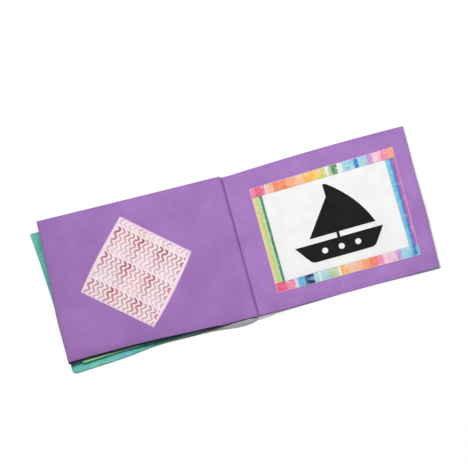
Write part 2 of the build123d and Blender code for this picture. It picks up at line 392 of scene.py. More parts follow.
def spline_weights(shares, count):
    """Weights of evenly set points at some shares of the way along them, for a smooth curve."""
    gap = np.abs(shares[:, None] * (count - 1) - np.arange(count))
    weights = np.clip(2 - gap, 0, None) ** 3 - 4 * np.clip(1 - gap, 0, None) ** 3
    return weights / weights.sum(1, keepdims=True)


def billowed(plan, faces):
    """How far a pad's upper cloth rises over its wadding, by cloth simulation: a cloth cut a little
    large is pressed up from inside, and held along the seam, along the hems and on its lower face."""
    width, height, place = plan
    counts = [round(size / rehearsal_cell) + 1 for size in (width, height)]
    across, up = np.meshgrid(*(np.linspace(0, 1, count) for count in counts), indexing="ij")
    out, y, to_edge = place(across, up)
    upper, lower = faces(out, y, to_edge)
    upper = np.where(to_edge <= 0, (upper + lower) / 2, upper)
    tops, feet = (np.stack([out, y, face], -1) * rehearsal_scale for face in (upper, lower))
    pad = put_down(closed_mesh("rehearsal", tops, feet, to_edge <= 0))
    loose = np.flatnonzero(((to_edge > 0) & (across > 0)).ravel())
    held = np.setdiff1d(np.arange(len(pad.data.vertices)), loose)
    pad.vertex_groups.new(name="held").add(held.tolist(), 1.0, "REPLACE")
    cloth = pad.modifiers.new("cloth", "CLOTH")
    cloth.point_cache.frame_end = rehearsal_frames
    cloth.settings.vertex_group_mass = "held"
    cloth.settings.mass = cloth_mass
    cloth.settings.bending_stiffness = cloth_stiffness
    cloth.settings.use_pressure = True
    cloth.settings.uniform_pressure_force = wadding_press
    cloth.settings.shrink_min = -cloth_slack
    cloth.settings.effector_weights.gravity = 0.0
    for step in range(1, rehearsal_frames + 1):
        bpy.context.scene.frame_set(step)
    settled = pad.evaluated_get(bpy.context.evaluated_depsgraph_get()).data
    points = np.zeros(3 * len(settled.vertices))
    settled.vertices.foreach_get("co", points)
    rise = points[2 : 3 * upper.size : 3].reshape(upper.shape) / MM / rehearsal_scale - upper
    rise = billow_most * np.tanh((rise - rise.mean()) / billow_most)
    rise = rise * eased(to_edge, 0, billow_hem) * eased(out, *billow_seam)
    bpy.context.scene.frame_set(1)
    bpy.data.meshes.remove(pad.data)

    def rise_at(across, up):
        """The rise at a grid of shares of the pad's width and height."""
        return spline_weights(across[:, 0], counts[0]) @ rise @ spline_weights(up[0], counts[1]).T

    return rise_at


def teal_dye(place):
    washes = place.mottle(26, 3.0).between(0.5, 0.66)
    blotch = place.mottle(9, 3.0).between(0.35, 0.7)
    teal = blotch.mixed(dyed(98, 204, 184), dyed(120, 216, 204))
    return washes.mixed(teal, dyed(116, 204, 222))


teal_cotton = cotton("teal_watercolour", teal_dye)


def front_pad_faces(out, y, to_edge):
    pinch = 1 - eased(out, 0, front_rise)
    upper = cover_top + (front_pad_seam[1] - cover_top) * pinch
    return upper, cloth_thickness + (front_pad_seam[0] - cloth_thickness) * pinch


front_plan = layer_plan(front_corners, front_rounds, low=front_hem, fore=front_fore)
front_pad = sewn_layer(
    "front_cover_lining", LEFT, front_plan, front_pad_faces, front_roll, [teal_cotton, grey_cotton],
    billow=billowed(front_plan, front_pad_faces),
)
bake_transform(front_pad)
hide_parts("front_cover")

# Pages: one padded sheet, folded into two leaves that lie on the front cover, and stitched through
# at the fold. Purple cotton above, a dark backing under the upper leaf, made near-black and turned up
# past the purple at its lower edge as painted shade under that edge, lime and teal on the lower leaf.
page_slope = math.tan(math.radians(1.6))
under_slope = math.tan(math.radians(0.8))
fan_start = 12.0
leaf_thickness = 2.6
leaf_reach = 5.0  # each face of a leaf rolls out of the seam over this distance
page_roll = 5.0
under_roll = 1.2
upper_leaf = ((0, -77.4), (0, 80.1), (202.6, -75.8), (201.2, 81.2))
turn_run = (14.0, 50.0)  # over this run its lower edge goes from turned under to turned up
turn_blur = 0.1
page_tuck = 2.0  # beside the seam the purple cloth is turned under by this much
shade_band = 1.35  # further out the near-black cloth comes this far beyond it, and more at one place, as painted shade
shade_band_more = 1.2
band_at = 96.0
band_width = 22.0
shade_band_rise = 0.45  # past the puff the near-black cloth, painted shade, also comes up this far over the hem
rise_run = (70.0, 120.0)
lower_leaf = ((0, -71.2), (0, 76.5), (188.25, -79.1), (195.75, 76.0))
leaf_rounds = (1.2, 1.2)
page_hollow = 1.8
hollow_skew = 1.5
page_dip = 0.2  # how far the upper edge sags, and the lower leaf's lower one
under_dip = 0.9
droop_run = 10.0  # over this width the upper leaf's lower edge sinks onto the leaf below
droop_from = (20.0, 70.0)
droop_room = 0.3
page_swell = 1.75
swell_at = 0.32
swell_width = 0.19
upper_seam = (2.2, 2.7)
under_seam = (1.85, 2.15)
upper_base = 6.7
under_base = 3.75
patch_corners = ((-173.1, -5.9), (-107.8, -61.9), (-50.4, 7.6), (-114.1, 63.3))
patch_cut = (85.6, 90.4)
patch_bow = 2.0
stitch_dent = 0.8
dent_width = 1.5
fine_cell = 1.5


def shade_band_reach(out):
    """How far the near-black lower cloth comes out beyond the purple one at the upper leaf's lower edge, as
    painted shade under that edge.
    """
    more = shade_band_more * np.exp(-(((out - band_at) / band_width) ** 2))
    return (shade_band + more) * eased(out, *turn_run)


def page_turned(out):
    """How far the near-black cloth is turned up at that edge, as painted shade. Beside the seam the purple
    one is turned under.
    """
    tuck = page_tuck * (1 - eased(out, *turn_run))
    return shade_band_reach(out) + shade_band_rise * eased(out, *rise_run) - tuck


def page_hem(share):
    """The upper leaf's lower edge, drawn in past its middle."""
    return shade_band_reach(share * upper_leaf[2][0]) - page_hollow * np.sin(math.pi * share**hollow_skew)


def page_fore(share):
    """The upper leaf's fore edge, which swells below its middle."""
    return page_swell * np.exp(-(((share - swell_at) / swell_width) ** 2))


def rolled(out, seam, beyond, reach):
    """A face that runs out of the seam steeply and rolls over into the height beyond."""
    share = np.sqrt(1 - (1 - np.clip(out / reach, 0, 1)) ** 2)
    return seam + (beyond - seam) * share


def let_out(u, v, cut, bow):
    """Distance across a flat cut of points on it, when its left and right sides are cut to bow out."""
    return u + (2 * u / cut[0] - 1) * bowed(bow)(v / cut[1])


def laid_out(u, v, cut, corners):
    """Places in the CAD frame of points of a flat cut, whose corners lie where corners say."""
    s, t = u / cut[0], v / cut[1]
    shares = ((1 - s) * (1 - t), s * (1 - t), s * t, (1 - s) * t)
    x, y = (sum(share * corner[axis] for share, corner in zip(shares, corners)) for axis in (0, 1))
    return seam_x + x, y


def drawn_in(x, y, outline):
    """How deep the stitches round a sewn-on cut draw the cloth in, beside the cut's outline."""
    nearest = np.full(x.shape, np.inf)
    for (x0, y0), (x1, y1) in zip(outline, outline[1:] + outline[:1]):
        run, rise = x1 - x0, y1 - y0
        share = np.clip(((x - x0) * run + (y - y0) * rise) / (run**2 + rise**2), 0, 1)
        nearest = np.minimum(nearest, np.hypot(x - x0 - share * run, y - y0 - share * rise))
    return stitch_dent * np.exp(-((nearest / dent_width) ** 2))


turn_u, turn_v = (np.array([(0, 0), (1, 0), (1, 0.5), (1, 1), (0, 1), (0, 0.5)]) * patch_cut).T
turn_u = let_out(turn_u, turn_v, patch_cut, patch_bow)
patch_outline = list(zip(*laid_out(turn_u, turn_v, patch_cut, patch_corners)))


def upper_leaf_faces(out, y, to_edge):
    share = out / upper_leaf[2][0]
    low_edge = upper_leaf[0][1] + share * (upper_leaf[2][1] - upper_leaf[0][1]) - page_hem(share)
    base = upper_base + (out - fan_start) * page_slope
    room = base - under_base - leaf_thickness - (out - fan_start) * under_slope - droop_room
    droop = room * eased(out, *droop_from) * np.clip(1 - (y - low_edge) / droop_run, 0, 1) ** 2
    base = base - droop
    upper = rolled(out, upper_seam[1], base + leaf_thickness, leaf_reach)
    upper = upper - drawn_in(seam_x + LEFT * out, y, patch_outline)
    return upper, rolled(out, upper_seam[0], base, leaf_reach)


def lower_leaf_faces(out, y, to_edge):
    base = under_base + np.maximum(out - fan_start, 0) * under_slope
    upper = rolled(out, under_seam[1], base + leaf_thickness, leaf_reach)
    return upper, rolled(out, under_seam[0], base, leaf_reach)


def page_dye(place):
    """Purple above, a little darker than the back cover's lining of the same cloth as painted shade, and
    near-black on the lower cloth and where that is turned up, as painted shade under the leaf's edge.
    """
    # This purple is a darker copy of the lining's purple: painted shade for the open page.
    shaded_purple = place.clouds(38, dyed(160, 113, 185), dyed(169, 122, 194))
    # The near-black lower cloth is partly a dark backing and partly painted shade: where it is turned up it
    # stands for the deep shade under the leaf's lower edge.
    painted_shade = place.clouds(18, dyed(8, 28, 42), dyed(16, 42, 54))
    turned = place.node("ShaderNodeAttribute", {}, "Fac", attribute_name="turned")
    return turned.between(-turn_blur, turn_blur).mixed(shaded_purple, painted_shade)


def lime_dye(place):
    return place.mottle(16, 3.0).between(0.35, 0.65).mixed(dyed(146, 226, 150), dyed(168, 236, 168))


# The page cotton is a shaded copy of the lining cotton: its purple is painted darker.
page_cotton = cotton("purple_page", page_dye, depth=0.06, slub_tint=0.035)
lime_cotton = cotton("lime_page", lime_dye)
upper_plan = layer_plan(upper_leaf, leaf_rounds, low=page_hem, high=bowed(-page_dip), fore=page_fore)
open_page = sewn_layer(
    "pages_cloth", LEFT, upper_plan, upper_leaf_faces, page_roll, [page_cotton], fine_cell,
    billowed(upper_plan, upper_leaf_faces), page_turned,
)
under_plan = layer_plan(lower_leaf, leaf_rounds, low=bowed(-under_dip))
under_page = sewn_layer(
    "under_page", LEFT, under_plan, lower_leaf_faces, under_roll, [lime_cotton, teal_cotton],
    billow=billowed(under_plan, lower_leaf_faces),
)


def joined(first, second):
    """The second piece's mesh added to the first."""
    both = bmesh.new()
    shift = 0
    for piece in (first, second):
        mesh = piece.data.copy()
        slots = np.zeros(len(mesh.polygons), np.int32)
        mesh.polygons.foreach_get("material_index", slots)
        mesh.polygons.foreach_set("material_index", slots + shift)
        both.from_mesh(mesh)
        shift += len(mesh.materials)
        bpy.data.meshes.remove(mesh)
    for material in second.data.materials:
        first.data.materials.append(material)
    both.to_mesh(first.data)
    both.free()
    bpy.data.objects.remove(second)
    return first


def surface_of(piece):
    """The piece's mesh, ready to be asked how high its cloth lies."""
    return BVHTree.FromObject(piece, bpy.context.evaluated_depsgraph_get())


page_surface = surface_of(open_page)
pages = joined(open_page, under_page)
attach(pages, "pages")
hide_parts("pages")

# Back cover's outer cloth: the same grey cotton. A rim of it shows past the lining at the fore and
# lower edges, and beside the spine it rises from the table into the seam.
back_corners = ((0, -76.6), (0, 79.3), (196.3, -74.4), (199.4, 84.6))
rim_corners = ((0, -78.2), (0, 78.9), (197.7, -75.8), (200.6, 84.6))
back_outer_seam = (1.2, 1.8)
back_swell = bowed(1.7)
ramp_end = 13.4
rim_loft = 0.15  # how much thicker the rim is than plain cloth
rim_roll = 0.5
rim_puff = 2.1
rim_puff_width = 15.0
rim_hollow = 2.1
rim_hollow_at = 112.0
rim_hollow_width = 62.0
fore_swell = 0.9
fore_swell_at = 0.38
fore_swell_width = 0.2


def ramp(out, low, high, end):
    """A face that lies at the low height and curves up to the high one at the seam."""
    return low + (high - low) * np.clip(1 - out / end, 0, 1) ** 2


def rim_hem(share):
    """The rim's lower edge, pushed out beside the seam by the puff and drawn in past its middle."""
    out = share * rim_corners[2][0]
    hollow = rim_hollow * np.exp(-(((out - rim_hollow_at) / rim_hollow_width) ** 2))
    return rim_puff * np.exp(-((out / rim_puff_width) ** 2)) - hollow


def back_fore(share):
    """The back cover's fore edge, which swells below its middle."""
    return fore_swell * np.exp(-(((share - fore_swell_at) / fore_swell_width) ** 2))


def back_outer_faces(out, y, to_edge):
    upper = ramp(out, cloth_thickness + rim_loft, back_outer_seam[1], ramp_end)
    return upper, ramp(out, 0, back_outer_seam[0], ramp_end)


rim_plan = layer_plan(rim_corners, leaf_rounds, low=rim_hem, high=back_swell, fore=back_fore)
back_outer = sewn_layer(
    "back_cover_outer_cloth", RIGHT, rim_plan, back_outer_faces, rim_roll, [grey_cotton]
)
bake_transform(back_outer)
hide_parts("back_cover_outer")

# Back cover's lining and padding: purple cotton over thin wadding. Its turned hem shows as a faint
# line inside the free edges, and beside the spine it curves up and dips into the crease.
frame_corners = ((26.1, -57.7), (180.9, -56.7), (183.0, 65.0), (24.9, 59.2))
back_pad_seam = (1.8, 2.4)
lining_gap = 0.1
lining_roll = 2.4
lip_height = 6.4
lip_width = 2.0
lip_run = 12.0
hem_inset = 3.0
hem_dent = 0.25
hem_width = 0.7
hem_start = (10.0, 30.0)  # the dent of the hem begins between these distances from the seam


def back_pad_faces(out, y, to_edge):
    upper = ramp(out, cover_top, lip_height, lip_run)
    upper = upper - (lip_height - back_pad_seam[1]) * np.clip(1 - out / lip_width, 0, 1) ** 2
    dent = hem_dent * np.exp(-(((to_edge - hem_inset) / hem_width) ** 2))
    upper = upper - dent * eased(out, *hem_start)
    upper = upper - drawn_in(out, y, frame_corners)
    return upper, ramp(out, cloth_thickness + lining_gap, back_pad_seam[0], ramp_end)


def purple_dye(place):
    return place.clouds(38, dyed(163, 117, 189), dyed(172, 126, 198))


purple_cotton = cotton("purple_lining", purple_dye, depth=0.06, slub_tint=0.035)
back_plan = layer_plan(back_corners, leaf_rounds, high=back_swell, fore=back_fore)
back_pad = sewn_layer(
    "back_cover_lining", RIGHT, back_plan, back_pad_faces, lining_roll, [purple_cotton, grey_cotton],
    fine_cell, billowed(back_plan, back_pad_faces),
)
back_surface = surface_of(back_pad)
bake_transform(back_pad)
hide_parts("back_cover")

# Patch: a square of pale pink cotton with a print of rose-coloured waves in bands, laid on its
# corner on the open page and sewn down all round.
patch_thickness = 0.5
sink = 0.05  # a cut's edge and lower face lie this deep in the cloth under it
edge_cuts = np.array([0, 0.12, 0.35, 0.7])  # where a cut's mesh is cut beside its rolled edge
edge_roll = edge_cuts[-1]
wave_pitch = 5.65
wave_length = 9.0
wave_swing = 1.7
wave_wobble = 1.2  # how far a stroke strays, as if drawn by hand
wave_line = 1.1
bold_more = 0.3
line_blur = 0.4
line_thins = 0.2  # how much thinner a stroke is at its end
margin_blur = 0.5
wave_band = 30.7
wave_start = 9.0
wave_shift = 3.8
wave_beat = 5  # of this many strokes two are bold
wave_turn = 1.9  # where in its wave each stroke begins, in radians
wave_margin = 1.8  # the strokes stop this far from the left and right sides
late_start = 0.05  # a stroke begins late by up to this share of its band
begin_draw, firm_draw, warm_draw = 0, 40, 80  # which of a stroke's random numbers sets what
band_draws = 31  # how far apart the random numbers of two bands lie
stroke_fade = ((0.0, 0.0), (0.02, 1.0), (0.35, 0.92), (0.65, 0.7), (0.92, 0.5), (0.98, 0.0))


def height_on(surface, x, y, above=100):
    """Height in mm of the cloth at a place, seen from above."""
    return surface.ray_cast(Vector((x, y, above)) * MM, Vector((0, 0, -1)))[0].z / MM


def laid_cut(name, cut, corners, thickness, surface, material, bow=0.0, step=2.6):
    """Thin cloth laid on a surface, with rolled edges and its own cut as UV map."""
    sides = []
    for size in cut:
        start, end = 2 * edge_roll, size - 2 * edge_roll
        even = np.linspace(start, end, max(2, round((end - start) / step) + 1))
        sides.append(np.concatenate([edge_cuts, even, (size - edge_cuts)[::-1]]))
    u, v = np.meshgrid(*sides, indexing="ij")
    to_edge = np.minimum(np.minimum(u, cut[0] - u), np.minimum(v, cut[1] - v))
    u = let_out(u, v, cut, bow)
    x, y = laid_out(u, v, cut, corners)
    rest = np.array([height_on(surface, *spot) for spot in zip(x.ravel(), y.ravel())]).reshape(u.shape)
    crown = np.sqrt(1 - (1 - np.clip(to_edge / edge_roll, 0, 1)) ** 2)
    tops = np.stack([x, y, rest - sink + (thickness + sink) * crown], -1)
    feet = np.stack([x, y, rest - sink], -1)
    rim = to_edge <= 0
    mesh = closed_mesh(name, tops, feet, rim, [material])
    on_cut = np.stack([u, v], -1) * MM
    places = np.concatenate([on_cut.reshape(-1, 2), on_cut[~rim]])
    corner_points = np.zeros(len(mesh.loops), np.int32)
    mesh.loops.foreach_get("vertex_index", corner_points)
    mesh.uv_layers.new(name="cut").data.foreach_set("uv", places[corner_points].ravel())
    return put_down(mesh)


def wave_dye(place):
    u, v, _ = place.parts()
    row = (patch_cut[1] - v + (wave_band - wave_start)) / wave_band
    band = place.maths("FLOOR", row)
    share = row - band
    hand = place.mottle(7) - 0.5
    turn = share * (2 * math.pi * wave_band / wave_length) + hand * wave_wobble + wave_turn
    column = (u + wave_shift + place.maths("SINE", turn) * wave_swing + hand * wave_wobble) / wave_pitch
    number = place.maths("FLOOR", column)
    slope = place.maths("COSINE", turn) * (2 * math.pi * wave_swing / wave_length)
    off_line = place.maths("ABSOLUTE", column - number - 0.5) * wave_pitch
    off_line = off_line * place.maths("INVERSE_SQRT", 1 + slope * slope)

    def chance(draw):
        """A number from 0 to 1 for each stroke."""
        seed = number + band * band_draws + draw
        return place.node("ShaderNodeTexWhiteNoise", {"W": seed}, noise_dimensions="1D")

    beat = number / wave_beat
    bold = 1 - (beat - place.maths("FLOOR", beat)).between(1.4 / wave_beat, 1.6 / wave_beat)
    ink = {"Fac": share - chance(begin_draw) * late_start}
    strength = place.node(
        "ShaderNodeValToRGB", ink, stops=[(at, (level, level, level, 1)) for at, level in stroke_fade]
    )
    rose = place.node(
        "ShaderNodeValToRGB", ink,
        stops=[(0.0, dyed(158, 62, 90)), (0.3, dyed(180, 96, 118)), (0.6, dyed(178, 130, 142)),
               (1.0, dyed(156, 154, 148))],
    )
    faint = place.node(
        "ShaderNodeValToRGB", ink,
        stops=[(0.0, dyed(154, 100, 114)), (0.4, dyed(182, 126, 138)), (1.0, dyed(164, 162, 156))],
    )
    warm = chance(warm_draw).between(0.6, 0.9)
    tone = (warm * 0.6).mixed(bold.mixed(faint, rose), dyed(222, 104, 130))
    line = (wave_line + bold * bold_more - off_line - share * line_thins).between(0.0, line_blur)
    dots = place.mottle(5, 1.0).between(0.42, 0.62)
    ground = dots.mixed(dyed(255, 228, 236), dyed(255, 240, 244))
    firm = 0.72 + bold * 0.16 + chance(firm_draw) * 0.12
    from_side = patch_cut[0] / 2 - place.maths("ABSOLUTE", u - patch_cut[0] / 2)
    printed = from_side.between(wave_margin - margin_blur, wave_margin + margin_blur)
    return (line * strength * firm * printed).mixed(ground, tone)


wave_cotton = cotton("wave_print", wave_dye, cut_map="cut", slub_tint=0.05)
patch = laid_cut(
    "wave_patch_cloth", patch_cut, patch_corners, patch_thickness, page_surface, wave_cotton, patch_bow
)
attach(patch, "pages")
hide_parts("wave_patch")

# Stitches round the patch: a close zigzag of pale pink cotton thread, sewn by machine through the
# patch and the page all round, so that it covers the patch's raw edge.
patch_stitch_inset = 0.8
patch_stitch = {"Pitch": 1.3, "Length": 3.8, "Thread": 1.05, "Slant": 0.85}
thread_twist = 0.35


def stitch_tree():
    """Short threads set along a path, each slanted the other way from the one before it."""
    tree = bpy.data.node_groups.new("stitches", "GeometryNodeTree")
    face = tree.interface
    face.new_socket("Path", in_out="INPUT", socket_type="NodeSocketGeometry")
    for size in ("Pitch", "Length", "Thread", "Slant"):
        face.new_socket(size, in_out="INPUT", socket_type="NodeSocketFloat")
    face.new_socket("Material", in_out="INPUT", socket_type="NodeSocketMaterial")
    face.new_socket("Stitches", in_out="OUTPUT", socket_type="NodeSocketGeometry")
    given = tree.nodes.new("NodeGroupInput").outputs

    def add(kind, inputs, **settings):
        node = tree.nodes.new(kind)
        for setting, value in settings.items():
            setattr(node, setting, value)
        for socket, value in inputs.items():
            if isinstance(value, bpy.types.NodeSocket):
                tree.links.new(value, node.inputs[socket])
            else:
                node.inputs[socket].default_value = value
        return node.outputs

    spots = add(
        "GeometryNodeCurveToPoints", {"Curve": given["Path"], "Length": given["Pitch"]}, mode="LENGTH"
    )
    heading = add(
        "FunctionNodeAlignRotationToVector", {"Vector": spots["Tangent"]}, axis="X", pivot_axis="Z"
    )
    number = add("GeometryNodeInputIndex", {})
    odd = add("ShaderNodeMath", {0: number["Index"], 1: 2.0}, operation="MODULO")
    sign = add("ShaderNodeMath", {0: odd[0], 1: 2.0, 2: -1.0}, operation="MULTIPLY_ADD")
    slant = add("ShaderNodeMath", {0: sign[0], 1: given["Slant"]}, operation="MULTIPLY")
    tilt = add("FunctionNodeAxisAngleToRotation", {"Axis": (0.0, 0.0, 1.0), "Angle": slant[0]})
    lay = add(
        "FunctionNodeRotateRotation", {"Rotation": heading["Rotation"], "Rotate By": tilt["Rotation"]},
        rotation_space="LOCAL",
    )
    thread = add("GeometryNodeMeshUVSphere", {"Segments": 6, "Rings": 4, "Radius": 0.5})
    size = add(
        "ShaderNodeCombineXYZ", {"X": given["Length"], "Y": given["Thread"], "Z": given["Thread"]}
    )
    sewn = add(
        "GeometryNodeInstanceOnPoints",
        {
            "Points": spots["Points"], "Instance": thread["Mesh"],
            "Rotation": lay["Rotation"], "Scale": size[0],
        },
    )
    whole = add("GeometryNodeRealizeInstances", {"Geometry": sewn["Instances"]})
    smooth = add("GeometryNodeSetShadeSmooth", {"Geometry": whole[0]})
    dyed_thread = add("GeometryNodeSetMaterial", {"Geometry": smooth[0], "Material": given["Material"]})
    result = tree.nodes.new("NodeGroupOutput")
    tree.links.new(dyed_thread[0], result.inputs["Stitches"])
    return tree


stitching = stitch_tree()


def stitches(name, path, material, **sizes):
    """Stitches along a path, as one plain mesh. Sizes are in mm, and the slant is in radians."""
    curve = bpy.data.curves.new(name, "CURVE")
    curve.dimensions = "3D"
    spline = curve.splines.new("POLY")
    spline.points.add(len(path) - 1)
    spline.points.foreach_set("co", np.column_stack([np.array(path) * MM, np.ones(len(path))]).ravel())
    line = bpy.data.objects.new(name + "_path", curve)
    bpy.context.collection.objects.link(line)
    modifier = line.modifiers.new("stitches", "NODES")
    modifier.node_group = stitching
    sockets = {s.name: s.identifier for s in stitching.interface.items_tree if s.in_out == "INPUT"}
    for size, value in sizes.items():
        modifier[sockets[size]] = value if size == "Slant" else value * MM
    modifier[sockets["Material"]] = material
    mesh = bpy.data.meshes.new_from_object(line.evaluated_get(bpy.context.evaluated_depsgraph_get()))
    mesh.name = name
    bpy.data.objects.remove(line)
    return put_down(mesh)


def edge_path(cut, corners, inset, surface, lift, bow=0.0, step=1.0):
    """Closed path round a laid cut, set in from its edge and lifted off the surface under it."""
    across, up = cut
    turns = [(inset, inset), (across - inset, inset), (across - inset, up - inset), (inset, up - inset)]
    path = []
    for (u0, v0), (u1, v1) in zip(turns, turns[1:] + turns[:1]):
        shares = np.arange(0, 1, step / math.hypot(u1 - u0, v1 - v0))
        u, v = u0 + (u1 - u0) * shares, v0 + (v1 - v0) * shares
        x, y = laid_out(let_out(u, v, cut, bow), v, cut, corners)
        path += [(*spot, height_on(surface, *spot) + lift) for spot in zip(x, y)]
    return path + path[:1]


def thread_material(name, pale, deep):
    """Spun cotton thread, with a faint change of tone from stitch to stitch."""
    material = bpy.data.materials.new(name)
    material.use_nodes = True
    tree = material.node_tree
    shader = tree.nodes["Principled BSDF"]
    place = Strand(tree).node("ShaderNodeTexCoord", {}, "Object").scaled(1 / MM, 1 / MM, 1 / MM)
    tone = place.clouds(2.2, deep, pale)
    x, y, _ = place.parts()
    twist = place.maths("SINE", (x + y) * (2 * math.pi / thread_twist))
    normal = place.node("ShaderNodeBump", {"Strength": 0.4, "Distance": 0.05 * MM, "Height": twist})
    tree.links.new(tone.socket, shader.inputs["Base Color"])
    tree.links.new(normal.socket, shader.inputs["Normal"])
    shader.inputs["Roughness"].default_value = 0.75
    shader.inputs["Specular IOR Level"].default_value = 0.25
    return material


pink_thread = thread_material("pale_pink_thread", dyed(255, 232, 252), dyed(250, 214, 244))
patch_path = edge_path(
    patch_cut, patch_corners, patch_stitch_inset, page_surface, patch_thickness, patch_bow
)
patch_stitches = stitches("patch_stitches", patch_path, pink_thread, **patch_stitch)
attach(patch_stitches, "pages")

# Picture panel: a rectangle of plain white cotton, sewn flat to the back cover's lining. The four
# strips of the frame edge it and cover its seams.
panel_cut = (135.2, 97.2)
panel_corners = ((36.9, -47.5), (171.8, -45.3), (171.2, 52.8), (35.8, 48.9))
panel_thickness = 0.5


def white_dye(place):
    return place.clouds(20, dyed(243, 243, 241), dyed(248, 248, 247))


white_cotton = cotton("white_cotton", white_dye, slub_tint=0.02)
panel = laid_cut(
    "picture_panel_cloth", panel_cut, panel_corners, panel_thickness, back_surface, white_cotton
)
panel_surface = surface_of(panel)
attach(panel, "back_cover")
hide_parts("picture_panel")

# Frame strips: four strips of rainbow cotton. The upper and lower ones are cut across the dyed
# stripes, so that their colours follow each other along the strip, and the side ones along them.
strip_thickness = 0.7
strip_ends = ((26.0, -47.7), (181.1, -45.1), (182.8, 53.1), (25.0, 48.6))  # outer corners of the side strips
dye_bleed = 1.6
most_wash = 0.32  # how far the dye is washed out to white where it is palest
ROSE, PINK, BLUSH = dyed(236, 84, 124), dyed(242, 132, 172), dyed(248, 204, 218)
PEACH, CORAL, APRICOT = dyed(250, 196, 164), dyed(250, 132, 86), dyed(250, 168, 122)
AMBER, YELLOW, CREAM = dyed(250, 184, 78), dyed(244, 206, 104), dyed(248, 226, 178)
LIME, SAGE, LEAF = dyed(206, 214, 92), dyed(188, 214, 158), dyed(58, 136, 86)
MINT, FERN, STRAW = dyed(192, 232, 198), dyed(84, 146, 104), dyed(226, 214, 138)
AQUA, SKY, BLUE, NAVY = dyed(162, 218, 230), dyed(110, 192, 232), dyed(28, 128, 200), dyed(26, 44, 112)
VIOLET, LILAC, MAGENTA = dyed(166, 104, 190), dyed(198, 152, 214), dyed(242, 104, 164)
WHITE = dyed(244, 242, 240)
top_stripes = [
    (0.0, PINK), (0.035, ROSE), (0.095, BLUSH), (0.115, PEACH), (0.16, CORAL), (0.25, APRICOT),
    (0.33, PEACH), (0.37, AMBER), (0.44, YELLOW), (0.49, LIME), (0.52, WHITE), (0.54, SAGE),
    (0.565, LEAF), (0.605, WHITE), (0.64, AQUA), (0.72, BLUE), (0.75, AQUA), (0.81, LILAC),
    (0.85, BLUSH), (0.91, PINK), (0.955, APRICOT),
]
bottom_stripes = [
    (0.0, ROSE), (0.07, PINK), (0.135, WHITE), (0.15, SKY), (0.20, NAVY), (0.265, AQUA),
    (0.295, WHITE), (0.315, AQUA), (0.37, SAGE), (0.435, WHITE), (0.45, AMBER), (0.50, PEACH),
    (0.60, APRICOT), (0.645, CORAL), (0.705, PINK), (0.75, BLUSH), (0.84, LILAC), (0.875, AQUA),
    (0.94, SKY), (0.955, BLUE), (0.98, SKY),
]
left_stripes = [(0.0, CREAM), (0.12, STRAW), (0.32, LIME), (0.48, SAGE), (0.66, MINT), (0.75, FERN)]
right_stripes = [(0.0, AQUA), (0.10, SKY), (0.42, BLUE), (0.62, VIOLET), (0.84, MAGENTA), (0.94, VIOLET)]


def striped(name, stripes, width):
    """Rainbow cotton whose stripes follow each other across the cut's width."""

    def stripe_dye(place):
        bleed = (place.mottle(3.0, 3.0) - 0.5) * dye_bleed
        run = (place.parts()[0] + bleed) / width
        bands = place.node("ShaderNodeValToRGB", {"Fac": run}, stops=stripes, fade="CONSTANT")
        blend = place.node("ShaderNodeValToRGB", {"Fac": run}, stops=stripes)
        wash = place.mottle(6.0, 3.0).between(0.48, 0.75) * most_wash
        return wash.mixed(place.mottle(4.0).between(0.4, 0.8).mixed(bands, blend), WHITE)

    return cotton(name, stripe_dye, cut_map="cut", slub_tint=0.05)


end_low_left, end_low_right, end_high_right, end_high_left = strip_ends
top_corners = (end_high_left, end_high_right, *frame_corners[2:])
bottom_corners = (*frame_corners[:2], end_low_right, end_low_left)
left_corners = (end_low_left, panel_corners[0], panel_corners[3], end_high_left)
right_corners = (panel_corners[1], end_low_right, end_high_right, panel_corners[2])
for strip_name, strip_cut, strip_corners, strip_stripes, strip_slot in (
    ("top", (158.0, 11.2), top_corners, top_stripes, "rainbow_cross"),
    ("bottom", (155.0, 10.8), bottom_corners, bottom_stripes, "rainbow_cross"),
    ("left", (10.9, 96.4), left_corners, left_stripes, "stripe_left"),
    ("right", (10.5, 98.2), right_corners, right_stripes, "stripe_right"),
):
    strip = laid_cut(
        f"frame_strip_{strip_name}_cloth", strip_cut, strip_corners, strip_thickness, back_surface,
        striped(f"rainbow_{strip_name}", strip_stripes, strip_cut[0]),
    )
    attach(strip, "back_cover")
    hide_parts(f"frame_strip_{strip_name}")
    [size * MM for size in strip_cut]

# Stitches round the frame: a finer machine zigzag of white cotton thread over the strips' outer
# edges, which holds the frame to the back cover's lining.
frame_cut = (157.0, 119.0)  # the frame's width and height, which space its stitches
frame_stitch_inset = 0.5
frame_stitch = {"Pitch": 1.4, "Length": 2.3, "Thread": 0.65, "Slant": 0.9}
thread_sink = 0.1  # how deep the thread lies in the strips
white_thread = thread_material("white_thread", dyed(248, 236, 244), dyed(240, 212, 230))
frame_path = edge_path(
    frame_cut, frame_corners, frame_stitch_inset, back_surface, strip_thickness - thread_sink
)
frame_stitches = stitches("frame_stitches", frame_path, white_thread, **frame_stitch)
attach(frame_stitches, "back_cover")

